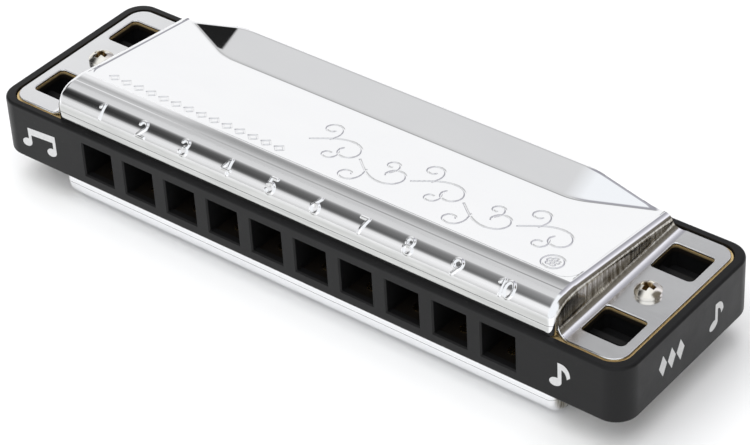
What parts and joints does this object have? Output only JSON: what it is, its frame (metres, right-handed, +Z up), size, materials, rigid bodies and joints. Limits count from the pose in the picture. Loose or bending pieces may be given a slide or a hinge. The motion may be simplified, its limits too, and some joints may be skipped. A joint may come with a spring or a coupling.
{
  "type": "diatonic harmonica",
  "caption": "Pocket harmonica with a black comb, square mouth holes, bright pressed covers with flared open backs, brass reed plates and free reeds.",
  "frame": {"origin": "centre of the footprint, at the height of the lower cover's lowest line", "axes": "+X along the holes from the low notes to the high notes, +Y from the player towards the open backs, +Z up through the upper cover"},
  "size_m": [0.102, 0.0288, 0.0181],
  "materials": {
    "comb_plastic": "satin moulded black",
    "cover_chrome": "mirror polished",
    "plate_brass": "rolled, satin",
    "reed_brass": "filed along its length",
    "rivet_brass": "polished",
    "screw_nickel": "nickel plated"
  },
  "bodies": {
    "instrument": {"comb": "comb_plastic", "upper_reed_plate": "plate_brass", "lower_reed_plate": "plate_brass", "upper_cover": "cover_chrome", "lower_cover": "cover_chrome", "cover_screws": "screw_nickel", "cover_nuts": "screw_nickel", "blow_reed_pads": "reed_brass", "draw_reed_pads": "reed_brass", "blow_reed_rivets": "rivet_brass", "draw_reed_rivets": "rivet_brass"},
    "blow_reed_01_tongue": {"blow_reed_01": "reed_brass"},
    "blow_reed_02_tongue": {"blow_reed_02": "reed_brass"},
    "blow_reed_03_tongue": {"blow_reed_03": "reed_brass"},
    "blow_reed_04_tongue": {"blow_reed_04": "reed_brass"},
    "blow_reed_05_tongue": {"blow_reed_05": "reed_brass"},
    "blow_reed_06_tongue": {"blow_reed_06": "reed_brass"},
    "blow_reed_07_tongue": {"blow_reed_07": "reed_brass"},
    "blow_reed_08_tongue": {"blow_reed_08": "reed_brass"},
    "blow_reed_09_tongue": {"blow_reed_09": "reed_brass"},
    "blow_reed_10_tongue": {"blow_reed_10": "reed_brass"},
    "draw_reed_01_tongue": {"draw_reed_01": "reed_brass"},
    "draw_reed_02_tongue": {"draw_reed_02": "reed_brass"},
    "draw_reed_03_tongue": {"draw_reed_03": "reed_brass"},
    "draw_reed_04_tongue": {"draw_reed_04": "reed_brass"},
    "draw_reed_05_tongue": {"draw_reed_05": "reed_brass"},
    "draw_reed_06_tongue": {"draw_reed_06": "reed_brass"},
    "draw_reed_07_tongue": {"draw_reed_07": "reed_brass"},
    "draw_reed_08_tongue": {"draw_reed_08": "reed_brass"},
    "draw_reed_09_tongue": {"draw_reed_09": "reed_brass"},
    "draw_reed_10_tongue": {"draw_reed_10": "reed_brass"}
  },
  "joints": [
    {"name": "blow_reed_01_bend", "type": "hinge", "parent": "instrument", "child": "blow_reed_01_tongue", "pos_m": [-0.03281, -0.0096, 0.01184], "axis": [1, 0, 0], "range_deg": [-3.4, 3.4], "stiffness_Nm_per_rad": 0.004},
    {"name": "blow_reed_02_bend", "type": "hinge", "parent": "instrument", "child": "blow_reed_02_tongue", "pos_m": [-0.02551, -0.0096, 0.01184], "axis": [1, 0, 0], "range_deg": [-3.23, 3.23], "stiffness_Nm_per_rad": 0.004},
    {"name": "blow_reed_03_bend", "type": "hinge", "parent": "instrument", "child": "blow_reed_03_tongue", "pos_m": [-0.01823, -0.0096, 0.01184], "axis": [1, 0, 0], "range_deg": [-3.07, 3.07], "stiffness_Nm_per_rad": 0.004},
    {"name": "blow_reed_04_bend", "type": "hinge", "parent": "instrument", "child": "blow_reed_04_tongue", "pos_m": [-0.01094, -0.0096, 0.01184], "axis": [1, 0, 0], "range_deg": [-2.9, 2.9], "stiffness_Nm_per_rad": 0.004},
    {"name": "blow_reed_05_bend", "type": "hinge", "parent": "instrument", "child": "blow_reed_05_tongue", "pos_m": [-0.00364, -0.0096, 0.01184], "axis": [1, 0, 0], "range_deg": [-2.73, 2.73], "stiffness_Nm_per_rad": 0.004},
    {"name": "blow_reed_06_bend", "type": "hinge", "parent": "instrument", "child": "blow_reed_06_tongue", "pos_m": [0.00364, -0.0096, 0.01184], "axis": [1, 0, 0], "range_deg": [-2.57, 2.57], "stiffness_Nm_per_rad": 0.004},
    {"name": "blow_reed_07_bend", "type": "hinge", "parent": "instrument", "child": "blow_reed_07_tongue", "pos_m": [0.01094, -0.0096, 0.01184], "axis": [1, 0, 0], "range_deg": [-2.4, 2.4], "stiffness_Nm_per_rad": 0.004},
    {"name": "blow_reed_08_bend", "type": "hinge", "parent": "instrument", "child": "blow_reed_08_tongue", "pos_m": [0.01823, -0.0096, 0.01184], "axis": [1, 0, 0], "range_deg": [-2.23, 2.23], "stiffness_Nm_per_rad": 0.004},
    {"name": "blow_reed_09_bend", "type": "hinge", "parent": "instrument", "child": "blow_reed_09_tongue", "pos_m": [0.02551, -0.0096, 0.01184], "axis": [1, 0, 0], "range_deg": [-2.07, 2.07], "stiffness_Nm_per_rad": 0.004},
    {"name": "blow_reed_10_bend", "type": "hinge", "parent": "instrument", "child": "blow_reed_10_tongue", "pos_m": [0.03281, -0.0096, 0.01184], "axis": [1, 0, 0], "range_deg": [-1.9, 1.9], "stiffness_Nm_per_rad": 0.004},
    {"name": "draw_reed_01_bend", "type": "hinge", "parent": "instrument", "child": "draw_reed_01_tongue", "pos_m": [-0.03281, -0.0096, 0.00504], "axis": [1, 0, 0], "range_deg": [-3.4, 3.4], "stiffness_Nm_per_rad": 0.004},
    {"name": "draw_reed_02_bend", "type": "hinge", "parent": "instrument", "child": "draw_reed_02_tongue", "pos_m": [-0.02551, -0.0096, 0.00504], "axis": [1, 0, 0], "range_deg": [-3.23, 3.23], "stiffness_Nm_per_rad": 0.004},
    {"name": "draw_reed_03_bend", "type": "hinge", "parent": "instrument", "child": "draw_reed_03_tongue", "pos_m": [-0.01823, -0.0096, 0.00504], "axis": [1, 0, 0], "range_deg": [-3.07, 3.07], "stiffness_Nm_per_rad": 0.004},
    {"name": "draw_reed_04_bend", "type": "hinge", "parent": "instrument", "child": "draw_reed_04_tongue", "pos_m": [-0.01094, -0.0096, 0.00504], "axis": [1, 0, 0], "range_deg": [-2.9, 2.9], "stiffness_Nm_per_rad": 0.004},
    {"name": "draw_reed_05_bend", "type": "hinge", "parent": "instrument", "child": "draw_reed_05_tongue", "pos_m": [-0.00364, -0.0096, 0.00504], "axis": [1, 0, 0], "range_deg": [-2.73, 2.73], "stiffness_Nm_per_rad": 0.004},
    {"name": "draw_reed_06_bend", "type": "hinge", "parent": "instrument", "child": "draw_reed_06_tongue", "pos_m": [0.00364, -0.0096, 0.00504], "axis": [1, 0, 0], "range_deg": [-2.57, 2.57], "stiffness_Nm_per_rad": 0.004},
    {"name": "draw_reed_07_bend", "type": "hinge", "parent": "instrument", "child": "draw_reed_07_tongue", "pos_m": [0.01094, -0.0096, 0.00504], "axis": [1, 0, 0], "range_deg": [-2.4, 2.4], "stiffness_Nm_per_rad": 0.004},
    {"name": "draw_reed_08_bend", "type": "hinge", "parent": "instrument", "child": "draw_reed_08_tongue", "pos_m": [0.01823, -0.0096, 0.00504], "axis": [1, 0, 0], "range_deg": [-2.23, 2.23], "stiffness_Nm_per_rad": 0.004},
    {"name": "draw_reed_09_bend", "type": "hinge", "parent": "instrument", "child": "draw_reed_09_tongue", "pos_m": [0.02551, -0.0096, 0.00504], "axis": [1, 0, 0], "range_deg": [-2.07, 2.07], "stiffness_Nm_per_rad": 0.004},
    {"name": "draw_reed_10_bend", "type": "hinge", "parent": "instrument", "child": "draw_reed_10_tongue", "pos_m": [0.03281, -0.0096, 0.00504], "axis": [1, 0, 0], "range_deg": [-1.9, 1.9], "stiffness_Nm_per_rad": 0.004}
  ]
}
